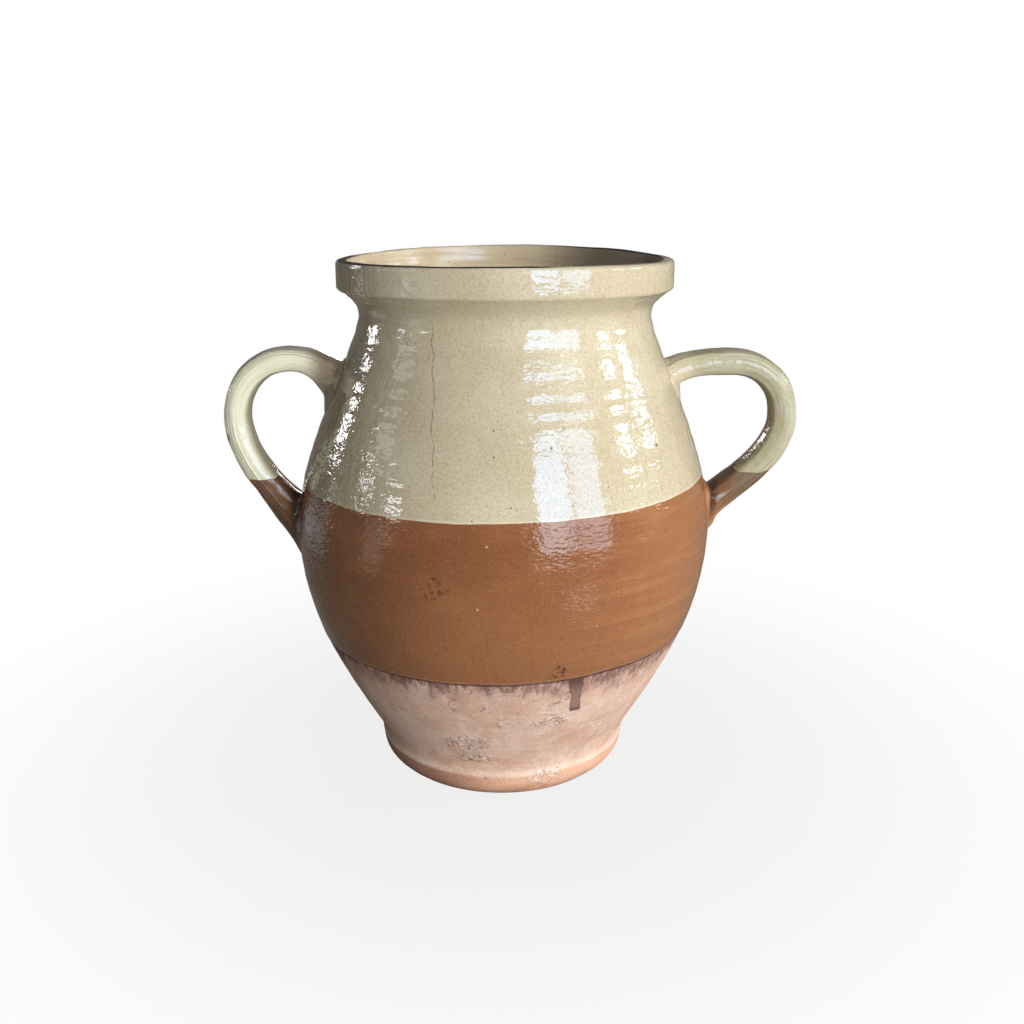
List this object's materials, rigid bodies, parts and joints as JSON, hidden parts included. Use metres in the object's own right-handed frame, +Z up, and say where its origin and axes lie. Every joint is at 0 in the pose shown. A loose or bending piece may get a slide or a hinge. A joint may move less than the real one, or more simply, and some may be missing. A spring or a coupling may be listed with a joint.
{
  "type": "two-handled stoneware jar",
  "caption": "Wide-mouthed ceramic jar with a collared lip and ribbed strap handles, cream glaze over brown over bare clay, for storing and serving food.",
  "frame": {"origin": "middle of the foot's flat face, on the table", "axes": "+Z up along the axis the body was thrown about; +X towards the right handle and -X towards the left handle; -Y towards the viewer of the picture"},
  "size_m": [0.3202, 0.2324, 0.2904],
  "materials": {
    "clay": "bare fired clay, dry and dusty",
    "cream": "glossy cream glaze with fine specks",
    "brown": "half-gloss caramel brown glaze",
    "lip": "thin dark brushed line"
  },
  "bodies": {
    "root": {"thrown_body": "clay", "left_handle": "clay", "right_handle": "clay", "cream_glaze": "cream", "brown_glaze": "brown", "liner_glaze": "cream", "lip_line": "lip", "left_handle_cream_glaze": "cream", "left_handle_brown_glaze": "brown", "right_handle_cream_glaze": "cream", "right_handle_brown_glaze": "brown"}
  },
  "joints": []
}
